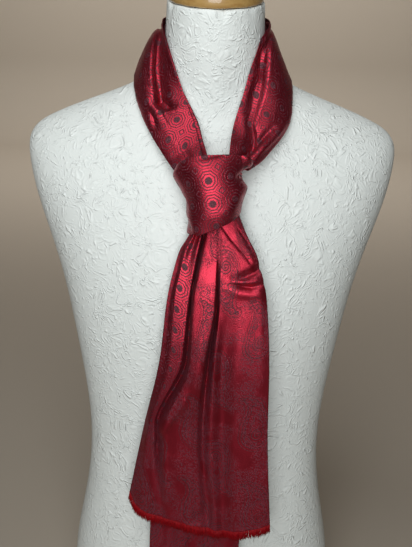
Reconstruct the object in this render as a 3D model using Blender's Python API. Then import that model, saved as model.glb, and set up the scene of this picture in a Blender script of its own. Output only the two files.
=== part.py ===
"""Woven dress scarf tied in a knot round the neck of a limbless torso display form.

Metres, +Z up, the front faces -Y. The origin is the middle of the form's flat underside.
The scarf is one strip of cloth. Each stretch of it that shows is a wall worked out from
a short table with a row for each section or fold, and the knot, the folds and the pleats
are all of that same strip.
"""
import math

import bmesh
import bpy
import numpy as np
from mathutils import Vector
from mathutils.bvhtree import BVHTree

MM = 0.001
GAP = 0.3 * MM                     # between pieces that touch on the real thing

# The scarf's cut
SCARF_WIDTH = 200 * MM
CLOTH_WALL = 1.2 * MM              # woven cloth with its nap and float threads
FRINGE_DROP = 12 * MM              # cut fringe below the hem
FRINGE_STRIP = 2.4 * MM            # the narrow woven strip that holds the fringe
FRINGE_GAP = 0.7 * MM              # between the hem's line and the strip

# The torso form, a row for each level: half width, front and back in millimetres,
# fullness of the section (2 is an ellipse), forward lean of the level in degrees
FORM_AROUND = 40
FORM_FOOT_ROUND = 3 * MM
FORM_COLUMNS = ("level", "half_width", "front", "back", "fullness", "lean")
FORM_LEVELS = (
    (0, 172, -100, 105, 2.4, 0),
    (50, 178, -104, 112, 2.4, 0),
    (110, 178, -105, 114, 2.4, 0),
    (180, 162, -101, 98, 2.4, 0),
    (250, 151, -99, 78, 2.4, 0),
    (310, 150, -101, 75, 2.4, 0),
    (370, 157, -108, 84, 2.4, 0),
    (430, 167, -116, 95, 2.4, 0),
    (480, 176, -120, 104, 2.4, 0),
    (520, 186, -120, 108, 2.3, 0),
    (560, 199, -115, 108, 2.25, 0),
    (600, 213, -106, 104, 2.2, 0),
    (635, 221, -96, 97, 2.1, 0),
    (660, 224, -84, 89, 1.95, 0),
    (675, 221, -76, 83, 1.8, 0),
    (688, 210, -71, 77, 1.6, 0),
    (700, 187, -69, 71, 1.45, 0),
    (712, 158, -69, 65, 1.38, 0),
    (724, 126, -70, 59, 1.35, 1),
    (736, 96, -71, 54, 1.45, 2),
    (748, 75, -73, 50, 1.65, 3),
    (762, 63, -75, 46, 1.85, 5),
    (782, 58, -78, 43, 2.0, 7),
    (804, 56.5, -80, 41, 2.0, 9),
    (830, 55.8, -82.5, 39.6, 2.0, 9.5),
)

# The turned cap on the neck: radius beyond the neck and height, up its outer side
CAP_AROUND = 40
CAP_PROFILE = ((-5.0, 0), (-3.0, 0), (-1.9, 1.4), (-1.3, 4), (-1.1, 8), (-1.4, 13), (-2.8, 17.5),
               (-5.6, 20.6), (-10.5, 22.4), (-20, 23.8), (-35, 24.6))

# The scarf round the neck, folded lengthwise: a row for each place along it, from the
# knot's left end round the back to its right end. In millimetres: the free top edge
# beside the neck, the fold at the outer side, the valley's place across as a share and
# its depth, the outer roll's place and height, the slack between the two layers, and how
# far the under layer reaches past the free edge, in hundredths of the band's width.
NECK_COLUMNS = ("free_x", "free_y", "free_z", "fold_x", "fold_y", "fold_z",
                "valley_at", "valley", "roll_at", "roll", "slack", "tuck")
NECK_PLACES = (
    (-14, -121, 654, -32, -119, 645, 0.40, 0.0, 0.70, 2.0, 3.5, 6),
    (-10.5, -117, 667, -41, -114, 653, 0.45, 0.5, 0.70, 4.0, 4.5, 12.5),
    (-14.8, -100, 683, -49, -105, 662, 0.50, 1.0, 0.70, 5.0, 5.0, 10),
    (-19.9, -87, 700, -60, -93, 676, 0.50, 1.0, 0.70, 6.0, 5.0, 8),
    (-25.8, -80, 713, -70, -80, 689, 0.52, 2.5, 0.72, 7.0, 5.5, 5),
    (-30.5, -75, 724, -78, -67, 701, 0.53, 5.5, 0.74, 10.0, 6.5, 1),
    (-37.6, -69.5, 743, -84, -54, 716, 0.46, 6.0, 0.68, 12.0, 7.5, -6),
    (-46.0, -61.5, 766, -88, -38, 732, 0.36, 5.0, 0.60, 11.5, 6.5, -6),
    (-52.5, -49, 786, -90, -20, 743, 0.24, 3.0, 0.50, 10.0, 5.0, -6),
    (-57.0, -30, 800, -90, -2, 748, 0.14, 0.6, 0.43, 8.0, 4.2, -6),
    (-58.5, -10, 807, -86, 20, 748, 0.10, 0.0, 0.42, 7.0, 4.2, -6),
    (-53.5, 15, 811, -76, 44, 743, 0.15, 1.0, 0.45, 6.0, 4.6, -6),
    (-40.0, 34, 814, -54, 66, 736, 0.15, 1.0, 0.50, 6.0, 4.6, -6),
    (-21.0, 43, 816, -28, 79, 731, 0.15, 1.0, 0.50, 6.0, 4.6, -6),
    (0, 46, 817, 0, 83, 729, 0.15, 1.0, 0.50, 6.0, 4.6, -6),
    (21.0, 43, 816, 28, 79, 731, 0.15, 1.0, 0.50, 6.0, 4.6, -6),
    (40.0, 34, 815, 54, 66, 736, 0.15, 1.0, 0.50, 6.0, 4.6, -6),
    (53.5, 15, 813, 72, 44, 745, 0.14, 1.0, 0.45, 6.0, 4.6, -6),
    (57.5, -10, 809, 78, 20, 751, 0.10, 0.0, 0.42, 6.0, 4.6, -6),
    (55.5, -32, 803, 82, -4, 748, 0.11, 0.6, 0.42, 6.5, 4.8, -6),
    (50.5, -52, 791, 88, -26, 741, 0.16, 2.2, 0.42, 7.5, 5.4, -6),
    (45.0, -62.5, 773, 89.5, -40, 731, 0.21, 3.2, 0.52, 8.0, 5.6, -6),
    (38.0, -69.5, 751, 89, -54, 714, 0.27, 3.5, 0.62, 7.5, 5.0, -5),
    (31.0, -75, 726, 85, -67, 699, 0.28, 3.0, 0.65, 6.5, 5.0, -5),
    (25.5, -82, 709, 78, -79, 688, 0.30, 1.5, 0.68, 6.0, 5.0, -5),
    (21.5, -93, 694, 68, -91, 677, 0.50, 2.5, 0.76, 5.0, 5.0, -5),
    (19.3, -108, 681, 55, -104, 664, 0.58, 3.5, 0.80, 5.0, 4.5, -5),
    (18.0, -119, 667, 41, -114, 655, 0.55, 1.0, 0.78, 3.0, 4.0, -5),
)
NECK_STEPS = 40                    # along the band
NECK_WIDE = 70                     # the band's usual width in millimetres
NECK_LAY = 0.8 * MM                # the under layer's clearance from the form

# The knot: a row for each level down it, in millimetres. Left and right are where it
# turns away, heights are there, the rise is how far its middle stands above that line,
# front is its foremost place and side the depth where it turns away.
KNOT_COLUMNS = ("left", "left_height", "right", "right_height", "rise", "front", "side")
KNOT_LEVELS = (
    (-39.0, 655.5, 43.5, 664, 15.5, -143, -123),
    (-41.5, 648.5, 40.5, 656, 14, -149, -123),
    (-38.5, 641, 37.0, 648, 11, -152, -122),
    (-34.0, 633, 41.5, 638, 7, -152.5, -121),
    (-30.0, 623, 37.0, 628, 3, -152.5, -120),
    (-28.5, 605, 34.5, 619.5, 1, -151, -119),
    (-28.5, 584, 33.0, 612.5, -1, -148, -119),
)
# How far round each layer reaches from the front, in degrees to the left and the right,
# a row for each place down the knot's levels
WRAP_REACH = ((0, 96, 92), (2, 104, 100), (2.9, 103, 102), (4, 62, 102), (5, 43, 100), (6, 28, 98))
UNDER_REACH = ((3.1, 100, 10), (4, 100, 0), (5, 100, -8), (5.87, 100, -16))
CORE_REACH = ((1.72, 180, 180), (4.8, 180, 180))
KNOT_FULLNESS = 2.5
KNOT_REAR = 8 * MM                 # the knot's depth behind its sides
UNDER_INSET = CLOTH_WALL + 1.6 * MM    # from the wrap's middle surface to the next one's
CORE_INSET = UNDER_INSET + CLOTH_WALL / 2 + 0.7 * MM
WRAP_AROUND = 20                   # steps round each layer and down it
WRAP_DOWN = 12
UNDER_AROUND = 8
UNDER_DOWN = 5
CORE_AROUND = 20
CORE_DOWN = 5

# The front tail: heights of its sections, the depth its folds swing about there, and
# a row for each fold line from its left edge to its right edge. Side is 1 for a ridge
# and -1 for a valley, weight is its share of the fold depth at the top and at the hem,
# back is how far it curls back at the top and hem, hem is the cloth's end below it.
FRONT_HEIGHTS = (607, 587, 567, 520, 443, 354, 225)
FRONT_DEPTHS = (-135.7, -136.6, -137, -140, -142, -143, -142)
FRONT_FOLDS = (
    # name, side, weights, backs, hem, then its place across at each height
    ("left edge", -1, 0.25, 0.3, 4.5, 24, 254, (-19, -21.5, -37.5, -45, -54, -72, -86)),
    ("first valley", -1, 1.0, 0.3, 0, 16, 235, (-16, -18.8, -33, -42, -50, -65, -76)),
    ("first ridge", 1, 1.0, 0.4, 5, 9, 231, (-13, -15.9, -25.5, -31, -43, -56, -65)),
    ("second valley", -1, 1.0, 0.5, 1, 5, 227, (-9, -12.9, -17, -24, -34, -47, -53)),
    ("second ridge", 1, 0.8, 0.35, 0, 3, 222.5, (-4.5, -9.5, -12.5, -20, -28, -38, -43)),
    ("third valley", -1, 1.2, 0.5, 0, 2, 219, (-1.5, -5.5, -8.5, -17, -21, -29, -33)),
    ("middle ridge", 1, 1.0, 0.9, 0, 1, 216.5, (2, -0.5, -2, -5, -10, -15, -19)),
    ("deep valley", -1, 1.0, 1.0, 0, 0, 213.5, (6, 5, 6, 8, 0, -2, -2)),
    ("crisp ridge", 1, 0.7, 0.5, 0, 0, 212, (9.5, 10, 12, 15, 12, 8, 10)),
    ("soft valley", -1, 0.6, 0.5, 0, 0, 211.8, (14, 15.5, 17.5, 22, 22, 25, 31)),
    ("right panel", 1, 0.6, 0.4, 0, 0, 213.5, (19, 24.5, 29, 35, 41, 44, 49)),
    ("edge valley", -1, 0.6, 0.2, 2, 0, 218.5, (23.5, 31, 38.5, 48, 57, 61, 68)),
    ("right edge", 1, 0.3, 0.2, 8, 3, 224.5, (29, 38, 49, 61, 70, 74, 81)),
)
FRONT_TOP = (598, 616.5)           # its hidden top edge, at the left and the right
FRONT_DEEPEST = 8.0                # the most that a fold swings either way
FRONT_STEPS = 23                   # down it, and from one fold line to the next
FRONT_FOLD_STEPS = 3
FRONT_STRANDS = 60

# The back tail stays folded lengthwise: the front layer from its free edge to the fold,
# then the back layer under it to the other edge
BACK_HEIGHTS = (606, 583, 520, 443, 354, 225, 125)
BACK_DEPTHS = (-113.5, -117, -126, -126, -124, -123, -123)
BACK_FOLDS = (
    ("free edge", -1, 0.3, 0.2, 0, 1, 127, (23, 30, 40, 44, 46, 47, 46)),
    ("first ridge", 1, 1.0, 0.5, 0, 0, 126, (18, 24, 31, 33, 34, 34, 33)),
    ("first valley", -1, 1.0, 0.8, 0, 0, 125, (13.5, 18, 22, 22, 21, 20, 19)),
    ("second ridge", 1, 1.0, 0.8, 0, 0, 124, (9, 12, 13, 10, 7, 5, 4)),
    ("second valley", -1, 1.0, 1.0, 0, 0, 123.5, (4.5, 6, 4, -3, -8, -11, -12)),
    ("third ridge", 1, 1.0, 0.9, 0, 0, 123.5, (0, 0, -6, -15, -22, -25, -27)),
    ("third valley", -1, 1.0, 0.9, 0, 0, 124, (-4.5, -7, -15, -26, -35, -39, -41)),
    ("fourth ridge", 1, 0.9, 0.6, 0, 0, 125, (-9, -14, -24, -36, -46, -52, -54)),
    ("fold", -1, 0.0, 0.0, 2.2, 2.5, 126, (-14.5, -21, -34, -46, -57, -64, -66)),
    ("under left", -1, 0.0, 0.0, 4.4, 5, 126, (-12, -18, -31, -42, -53, -60, -62)),
    ("under middle", -1, 0.0, 0.0, 4.4, 5, 125, (0, -2, -10, -18, -25, -29, -31)),
    ("under edge", -1, 0.0, 0.0, 4.4, 5, 126, (12, 16, 14, 12, 10, 8, 6)),
)
BACK_TOP = (604, 612)
BACK_DEEPEST = 2.0
BACK_STEPS = 16
BACK_FOLD_STEPS = 2
BACK_STRANDS = 36


def clear_scene():
    """Start from an empty scene."""
    for item in list(bpy.data.objects):
        bpy.data.objects.remove(item, do_unlink=True)


def make_material(name, colour, roughness, metallic=0.0):
    """A plain Principled material in the piece's colour."""
    material = bpy.data.materials.new(name)
    material.use_nodes = True
    shader = material.node_tree.nodes["Principled BSDF"]
    shader.inputs["Base Color"].default_value = (*colour, 1.0)
    shader.inputs["Roughness"].default_value = roughness
    shader.inputs["Metallic"].default_value = metallic
    return material


def smooth_column(places, values, at):
    """A smooth curve through one column of a table, with no overshoot between its rows."""
    places = np.asarray(places, float)
    values = np.asarray(values, float)
    steps = np.diff(places)
    rises = np.diff(values) / steps
    slopes = np.zeros(len(places))
    slopes[0] = rises[0]
    slopes[-1] = rises[-1]
    for i in range(1, len(places) - 1):
        if rises[i - 1] * rises[i] > 0:
            before = 2 * steps[i] + steps[i - 1]
            after = steps[i] + 2 * steps[i - 1]
            slopes[i] = (before + after) / (before / rises[i - 1] + after / rises[i])
    at = np.clip(np.asarray(at, float), places[0], places[-1])
    span = np.clip(np.searchsorted(places, at, side="right") - 1, 0, len(steps) - 1)
    t = (at - places[span]) / steps[span]
    return ((2 * t**3 - 3 * t**2 + 1) * values[span]
            + (t**3 - 2 * t**2 + t) * steps[span] * slopes[span]
            + (3 * t**2 - 2 * t**3) * values[span + 1]
            + (t**3 - t**2) * steps[span] * slopes[span + 1])


def add_mesh(name, points, faces, material):
    """One named object from points and faces, its faces turned outwards."""
    mesh = bpy.data.meshes.new(name)
    mesh.from_pydata([tuple(p) for p in points], [], faces)
    build = bmesh.new()
    build.from_mesh(mesh)
    if build.calc_volume(signed=True) < 0:
        bmesh.ops.reverse_faces(build, faces=build.faces)
    build.to_mesh(mesh)
    build.free()
    mesh.materials.append(material)
    mesh.shade_smooth()
    mesh.set_sharp_from_angle(angle=math.radians(40))
    piece = bpy.data.objects.new(name, mesh)
    bpy.context.collection.objects.link(piece)
    return piece


def loft(name, rings, material):
    """A closed solid through rings of points, with a flat face at each end."""
    around = len(rings[0])
    points = [p for ring in rings for p in ring]
    faces = []
    for level in range(len(rings) - 1):
        for i in range(around):
            j = (i + 1) % around
            low = level * around
            high = low + around
            faces.append((low + i, low + j, high + j, high + i))
    faces.append(tuple(range(around - 1, -1, -1)))
    last = (len(rings) - 1) * around
    faces.append(tuple(range(last, last + around)))
    return add_mesh(name, points, faces, material)


def oval(half_width, front, back, level, fullness, lean, around):
    """A level section: an oval or a fuller one, leaning forward by some degrees."""
    centre = (front + back) / 2
    half_depth = (back - front) / 2
    ring = []
    for i in range(around):
        turn = math.tau * i / around
        across = math.copysign(abs(math.cos(turn)) ** (2 / fullness), math.cos(turn))
        depth = math.copysign(abs(math.sin(turn)) ** (2 / fullness), math.sin(turn))
        height = level + half_depth * depth * math.tan(math.radians(lean))
        ring.append((half_width * across, centre + half_depth * depth, height))
    return ring


def form_level(level):
    """Half width, front, back, fullness and lean of the form at a height, in metres."""
    table = np.array(FORM_LEVELS, float)
    values = []
    for column, name in enumerate(FORM_COLUMNS[1:], start=1):
        value = float(smooth_column(table[:, 0] * MM, table[:, column], level))
        values.append(value * MM if name in ("half_width", "front", "back") else value)
    return values


def dress_form(material):
    """The limbless torso: smooth level sections from the flat base to the neck."""
    rings = []
    half_width, front, back, fullness, lean = form_level(0)
    inset = FORM_FOOT_ROUND
    rings.append(oval(half_width - inset, front + inset, back - inset, 0, fullness, lean,
                      FORM_AROUND))
    levels = [FORM_FOOT_ROUND] + [row[0] * MM for row in FORM_LEVELS[1:]]
    for level in levels:
        half_width, front, back, fullness, lean = form_level(level)
        rings.append(oval(half_width, front, back, level, fullness, lean, FORM_AROUND))
    return loft("dress_form", rings, material)


def neck_cap(material):
    """The turned cap, 0.3 mm above the neck's leaning top."""
    top = FORM_LEVELS[-1]
    level = top[0] * MM
    half_width, front, back, fullness, lean = form_level(level)
    rings = []
    slope = math.radians(lean)
    for beyond, height in CAP_PROFILE:
        out = beyond * MM
        ring = oval(half_width + out, front - out, back + out, level, 2.0, lean, CAP_AROUND)
        lift = height * MM + GAP
        shift = Vector((0, -math.sin(slope), math.cos(slope))) * lift
        rings.append([tuple(Vector(p) + shift) for p in ring])
    return loft("neck_cap", rings, material)


def line_through(places, steps):
    """A smooth line through a few places, with some steps in each span between them."""
    places = np.asarray(places, float)
    spans = np.linalg.norm(np.diff(places, axis=0), axis=1)
    along = np.concatenate([[0.0], np.cumsum(spans)])
    at = np.interp(np.arange(steps * len(spans) + 1) / steps, np.arange(len(along)), along)
    return np.stack([smooth_column(along, column, at) for column in places.T], axis=1)


def line_length(line):
    """The length of a line of points."""
    return float(np.linalg.norm(np.diff(line, axis=0), axis=1).sum())


def surface_normals(grid):
    """The direction that each point of a grid of cloth faces."""
    down = np.gradient(grid, axis=0)
    across = np.gradient(grid, axis=1)
    normals = np.cross(across, down)
    return normals / np.linalg.norm(normals, axis=2, keepdims=True)


def cloth_wall(name, grid, material):
    """One stretch of cloth: a closed wall about the points of its middle surface."""
    rows, columns = grid.shape[:2]
    half = surface_normals(grid) * CLOTH_WALL / 2
    points = np.concatenate([(grid + half).reshape(-1, 3), (grid - half).reshape(-1, 3)])
    back = rows * columns
    faces = []
    for row in range(rows - 1):
        for column in range(columns - 1):
            a = row * columns + column
            b = a + 1
            c = b + columns
            d = a + columns
            faces += [(a, b, c), (a, c, d)]
            faces += [(back + c, back + b, back + a), (back + d, back + c, back + a)]
    edge = [column for column in range(columns)]
    edge += [row * columns + columns - 1 for row in range(1, rows)]
    edge += [(rows - 1) * columns + column for column in range(columns - 2, -1, -1)]
    edge += [row * columns for row in range(rows - 2, 0, -1)]
    for a, b in zip(edge, edge[1:] + edge[:1]):
        faces.append((b, a, back + a, back + b))
    return add_mesh(name, points, faces, material)


def surface_of(piece):
    """A search tree of a piece's surface."""
    corners = [vertex.co[:] for vertex in piece.data.vertices]
    return BVHTree.FromPolygons(corners, [tuple(face.vertices) for face in piece.data.polygons])


def lift_clear(point, direction, tree, clearance):
    """How far a point has to move along a direction to stand clear of a surface."""
    lift = 0.0
    for _ in range(8):
        here = Vector(point) + Vector(direction) * lift
        nearest, normal, _, distance = tree.find_nearest(here)
        if (here - nearest).dot(normal) < 0:
            distance = -distance
        if distance >= clearance:
            break
        lift += clearance - distance
    return lift


def band_section(row):
    """The folded band's section: places as (share across, height), free edge to tuck."""
    valley_at, valley, roll_at, roll, top, tuck = row
    return ((0.0, top),
            (0.5 * valley_at, top + 1.0),
            (valley_at - 0.03, top - 0.6 * valley),
            (valley_at + 0.03, top - 0.45 * valley),
            (0.68 * valley_at + 0.32 * roll_at, top + 0.6 * roll),
            (roll_at, top + roll),
            (0.5 * roll_at + 0.48, top + 0.80 * roll),
            (1.01, 0.5 * top + 0.30 * roll),
            (0.95, 0.0),
            (0.5, 0.0),
            (-0.01 * tuck, 0.0))


def neck_band(form_surface):
    """The folded stretch round the neck, laid on the form: points of its middle surface."""
    table = np.array(NECK_PLACES, float)
    places = np.linspace(0, len(table) - 1, NECK_STEPS + 1)
    table = np.stack([smooth_column(np.arange(len(table)), column, places)
                      for column in table.T], axis=1)
    free = table[:, 0:3] * MM
    fold = table[:, 3:6] * MM
    along = np.gradient((free + fold) / 2, axis=0)
    outward = np.cross(along, fold - free)
    outward /= np.linalg.norm(outward, axis=1, keepdims=True)
    lay = CLOTH_WALL / 2 + NECK_LAY
    shares = np.linspace(-0.1, 1.05, 12)
    rows = []
    for place, row in enumerate(table):
        section = np.array(band_section(row[6:12]), float)
        section = line_through(np.stack([section[:, 0], section[:, 1] / NECK_WIDE], axis=1), 2)
        slack = row[10] * MM
        chord = fold[place] - free[place]
        lifts = []
        for share in shares:
            under = free[place] + chord * share - outward[place] * slack
            lifts.append(lift_clear(under, outward[place], form_surface, lay))
        lifts = np.maximum(np.convolve(np.pad(lifts, 1, mode="edge"), [0.25, 0.5, 0.25], "valid"),
                           lifts)
        lift = np.interp(section[:, 0], shares, lifts)
        height = section[:, 1] * NECK_WIDE * MM - slack + lift
        line = (free[place] + np.outer(section[:, 0], chord)
                + np.outer(height, outward[place]))
        for point in line:
            point += outward[place] * lift_clear(point, outward[place], form_surface, lay)
        rows.append(line)
    return np.array(rows)


def knot_points(reach, inset, down, around, closed=False):
    """A knot layer's points, an even distance inside the wrap: a row for each level."""
    levels = np.array(KNOT_LEVELS, float).T
    reach = np.array(reach, float).T
    rows = []
    for place in np.linspace(reach[0][0], reach[0][-1], down + 1):
        left, left_height, right, right_height, rise, front, side = (
            float(smooth_column(np.arange(levels.shape[1]), column, place)) for column in levels)
        start = -smooth_column(reach[0], reach[1], place)
        end = smooth_column(reach[0], reach[2], place)
        centre = (left + right) / 2 * MM
        half_width = (right - left) / 2 * MM - inset
        depth = (side - front) * MM - inset
        turns = np.linspace(float(start), float(end), around + 1)
        if closed:
            turns = turns[:-1]
        row = []
        for turn in np.radians(turns):
            across = math.copysign(abs(math.sin(turn)) ** (2 / KNOT_FULLNESS), math.sin(turn))
            forward = math.copysign(abs(math.cos(turn)) ** (2 / KNOT_FULLNESS), math.cos(turn))
            reaches = depth if forward > 0 else KNOT_REAR
            height = np.interp(across, (-1, 1), (left_height, right_height))
            row.append((centre + half_width * across, side * MM - reaches * forward,
                        (height + rise * max(forward, 0)) * MM))
        rows.append(row)
    return np.array(rows)


def tail_points(folds, heights, depths, top, steps, fold_steps, deepest):
    """A hanging tail's points: each level is folded until it takes up the scarf's width."""
    fall = -np.array(heights, float)
    sides = np.array([fold[1] for fold in folds], float)
    weights = np.array([fold[2:4] for fold in folds], float)
    backs = np.array([fold[4:6] for fold in folds], float)
    hems = np.array([fold[6] for fold in folds], float)
    first = folds[0][7][0]
    last = folds[-1][7][0]
    rows = []
    for share in np.linspace(0, 1, steps + 1):
        levels = []
        across = []
        for fold, hem in zip(folds, hems):
            start = np.interp(fold[7][0], sorted((first, last)), top)
            level = start + (hem - start) * share
            levels.append(level)
            across.append(float(smooth_column(fall, fold[7], -level)))
        levels = np.array(levels)
        middle = smooth_column(fall, depths, -levels)
        back = backs[:, 0] + (backs[:, 1] - backs[:, 0]) * share
        weight = weights[:, 0] + (weights[:, 1] - weights[:, 0]) * share

        def level_line(swing):
            """The level's line with its folds swinging this far either way."""
            depth = middle + back - sides * weight * swing
            return line_through(np.stack([across, depth, levels], axis=1) * MM, fold_steps)

        low = 0.0
        high = deepest
        for _ in range(24):
            swing = (low + high) / 2
            if line_length(level_line(swing)) < SCARF_WIDTH:
                low = swing
            else:
                high = swing
        rows.append(level_line(low))
    return np.array(rows)


def fringe(name, tail, strands, material):
    """Cut fringe below a hem: a narrow strip with tapered strands fused to its lower side."""
    hem = tail[-1]
    fall = tail[-1] - tail[-3]
    along = np.concatenate([[0.0], np.cumsum(np.linalg.norm(np.diff(hem, axis=0), axis=1))])
    at = np.linspace(0, along[-1], 2 * strands + 2)
    hem = np.stack([np.interp(at, along, column) for column in hem.T], axis=1)
    fall = np.stack([np.interp(at, along, column) for column in fall.T], axis=1)
    fall /= np.linalg.norm(fall, axis=1, keepdims=True)
    facing = np.cross(np.gradient(hem, axis=0), fall)
    facing /= np.linalg.norm(facing, axis=1, keepdims=True)
    half = facing * CLOTH_WALL / 2
    high = hem + fall * FRINGE_GAP
    low = high + fall * FRINGE_STRIP
    count = len(hem)
    points = list(np.concatenate([high + half, high - half, low - half, low + half]))
    faces = []
    for side in range(4):
        for i in range(count - 1):
            corners = (side * count + i, side * count + i + 1,
                       (side + 1) % 4 * count + i + 1, (side + 1) % 4 * count + i)
            if side == 2 and i % 2 == 0:
                root = (points[corners[0]] + points[corners[1]]
                        + points[corners[2]] + points[corners[3]]) / 4
                drop = FRINGE_DROP * (1 - 0.14 * math.sin(1.9 * i) ** 2)
                sway = facing[i] * math.sin(2.7 * i) * 0.8 * MM
                tip = len(points)
                points.append(root + fall[i] * (drop - FRINGE_STRIP) + sway)
                for a, b in zip(corners, corners[1:] + corners[:1]):
                    faces.append((a, b, tip))
            else:
                faces.append(corners)
    faces.append(tuple(side * count for side in range(4)))
    faces.append(tuple(side * count + count - 1 for side in range(3, -1, -1)))
    return add_mesh(name, points, faces, material)


clear_scene()
FORM_SKIN = make_material("form_skin_paper", (0.80, 0.79, 0.76), 0.75)
CAP_WOOD = make_material("cap_lacquered_wood", (0.66, 0.38, 0.12), 0.25)
SCARF_CLOTH = make_material("scarf_jacquard_satin", (0.36, 0.02, 0.035), 0.45)
FRINGE_YARN = make_material("fringe_red_yarn", (0.55, 0.01, 0.03), 0.6)

form = dress_form(FORM_SKIN)
neck_cap(CAP_WOOD)
cloth_wall("neck_band", neck_band(surface_of(form)), SCARF_CLOTH)
cloth_wall("knot_wrap", knot_points(WRAP_REACH, 0.0, WRAP_DOWN, WRAP_AROUND), SCARF_CLOTH)
cloth_wall("knot_under_wrap", knot_points(UNDER_REACH, UNDER_INSET, UNDER_DOWN, UNDER_AROUND),
           SCARF_CLOTH)
loft("knot_core", knot_points(CORE_REACH, CORE_INSET, CORE_DOWN, CORE_AROUND, closed=True),
     SCARF_CLOTH)
front = tail_points(FRONT_FOLDS, FRONT_HEIGHTS, FRONT_DEPTHS, FRONT_TOP, FRONT_STEPS,
                    FRONT_FOLD_STEPS, FRONT_DEEPEST)
back = tail_points(BACK_FOLDS, BACK_HEIGHTS, BACK_DEPTHS, BACK_TOP, BACK_STEPS,
                   BACK_FOLD_STEPS, BACK_DEEPEST)
cloth_wall("front_tail", front, SCARF_CLOTH)
cloth_wall("back_tail", back, SCARF_CLOTH)
fringe("front_fringe", front, FRONT_STRANDS, FRINGE_YARN)
fringe("back_fringe", back, BACK_STRANDS, FRINGE_YARN)
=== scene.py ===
# %% [markdown]
# # A woven satin scarf tied on a torso form
#
# The real thing is a man's dress scarf: one strip of jacquard satin, 200 mm wide, with a
# short cut fringe. It is folded lengthwise, laid round the neck of a display torso and tied
# at the front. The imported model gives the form, the cap and plain walls for each stretch of
# the cloth. Here each stretch is made again as a thin, soft sheet, and every surface gets
# its finish.

# %% Load the frame
import math

import bmesh
import bpy
import numpy as np
from mathutils import Matrix, Vector, noise
from mathutils.bvhtree import BVHTree


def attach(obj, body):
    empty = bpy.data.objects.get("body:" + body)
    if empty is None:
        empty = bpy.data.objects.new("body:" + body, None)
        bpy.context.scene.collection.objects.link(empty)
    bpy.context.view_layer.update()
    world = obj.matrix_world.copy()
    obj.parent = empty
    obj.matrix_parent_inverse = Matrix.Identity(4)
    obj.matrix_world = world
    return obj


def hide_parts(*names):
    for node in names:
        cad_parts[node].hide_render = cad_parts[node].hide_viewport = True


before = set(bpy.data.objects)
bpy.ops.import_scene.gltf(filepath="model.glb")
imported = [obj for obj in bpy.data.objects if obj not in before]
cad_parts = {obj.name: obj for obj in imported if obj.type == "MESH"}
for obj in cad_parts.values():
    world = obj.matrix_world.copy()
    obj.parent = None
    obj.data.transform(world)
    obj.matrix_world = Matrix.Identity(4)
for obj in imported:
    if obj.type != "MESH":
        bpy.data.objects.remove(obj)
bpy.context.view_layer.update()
bpy.ops.object.select_all(action="DESELECT")
bpy.context.view_layer.objects.active = None
MM = 0.001
print("nodes:", sorted(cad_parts))

# %% [markdown]
# ## Camera
#
# The photograph was taken from about a metre away, a little above the knot and looking down
# by 18 degrees. The camera comes first, because the creases are placed by where they are
# seen in the picture.

# %% The camera, and where the picture shows a point
PICTURE_WIDE = 412
PICTURE_TALL = 547
FOCAL = 822.0                      # in picture pixels
LOOK_DOWN = math.radians(17.8)
LEAN = math.radians(1.5)
CAMERA_AT = Vector((-0.0033, -1.0, 0.82))

camera_data = bpy.data.cameras.new("photo_camera")
camera_data.sensor_fit = "VERTICAL"
camera_data.sensor_height = 36
camera_data.lens = 36 * FOCAL / PICTURE_TALL
camera = bpy.data.objects.new("photo_camera", camera_data)
bpy.context.collection.objects.link(camera)
camera.matrix_world = (Matrix.Translation(CAMERA_AT)
                       @ Matrix.Rotation(math.radians(90) - LOOK_DOWN, 4, "X")
                       @ Matrix.Rotation(LEAN, 4, "Z"))
bpy.context.scene.camera = camera


def seen_at(points):
    """Where the picture shows each point, in pixels from its top left corner."""
    view = np.array(camera.matrix_world.inverted())
    seen = np.asarray(points) @ view[:3, :3].T + view[:3, 3]
    across = PICTURE_WIDE / 2 + FOCAL * seen[..., 0] / -seen[..., 2]
    down = PICTURE_TALL / 2 - FOCAL * seen[..., 1] / -seen[..., 2]
    return np.stack([across, down], axis=-1)


print("the base of the form is seen at", seen_at(np.zeros(3)).round(1))

# %% [markdown]
# ## Finishes
#
# Every colour is written as the sRGB hex value that the eye sees, and one function turns it
# to the linear value that a shader needs. One more function adds a node, and four short ones
# call it for arithmetic, ranges and blends.

# %% Colours and nodes
def colour(code):
    """A hex colour as linear red, green, blue and alpha."""
    parts = [int(code[i:i + 2], 16) / 255 for i in (0, 2, 4)]
    return tuple(c / 12.92 if c <= 0.04045 else ((c + 0.055) / 1.055) ** 2.4 for c in parts) + (1,)


def add_node(material, kind, links=(), output=0, **settings):
    """Add a node, set its fields and inputs, and give back one of its outputs."""
    tree = material.node_tree
    node = tree.nodes.new("ShaderNode" + kind)
    for name, value in settings.items():
        setattr(node, name, value)
    for place, value in (links.items() if isinstance(links, dict) else enumerate(links)):
        if isinstance(value, bpy.types.NodeSocket):
            tree.links.new(value, node.inputs[place])
        elif value is not None:
            node.inputs[place].default_value = value
    return node.outputs[output]


def reckon(material, operation, *values):
    """One step of arithmetic on numbers."""
    return add_node(material, "Math", values, operation=operation)


def reckon_places(material, operation, *values, output=0):
    """One step of arithmetic on places."""
    return add_node(material, "VectorMath", values, output, operation=operation)


def ramp(material, value, start, end, low=0.0, high=1.0):
    """A value carried to another range: low at the start and high at the end."""
    return add_node(material, "MapRange", {0: value, 1: start, 2: end, 3: low, 4: high})


def blend(material, share, first, second):
    """A blend of two colours, each a hex value or a socket."""
    first, second = (colour(c) if isinstance(c, str) else c for c in (first, second))
    return add_node(material, "Mix", {0: share, 6: first, 7: second}, 2, data_type="RGBA")


def new_material(name, **values):
    """A Principled material, with the values that are the same all over the surface."""
    material = bpy.data.materials.new(name)
    material.use_nodes = True
    shader = material.node_tree.nodes["Principled BSDF"]
    for field, value in values.items():
        shader.inputs[field.replace("_", " ")].default_value = value
    return material


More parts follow.
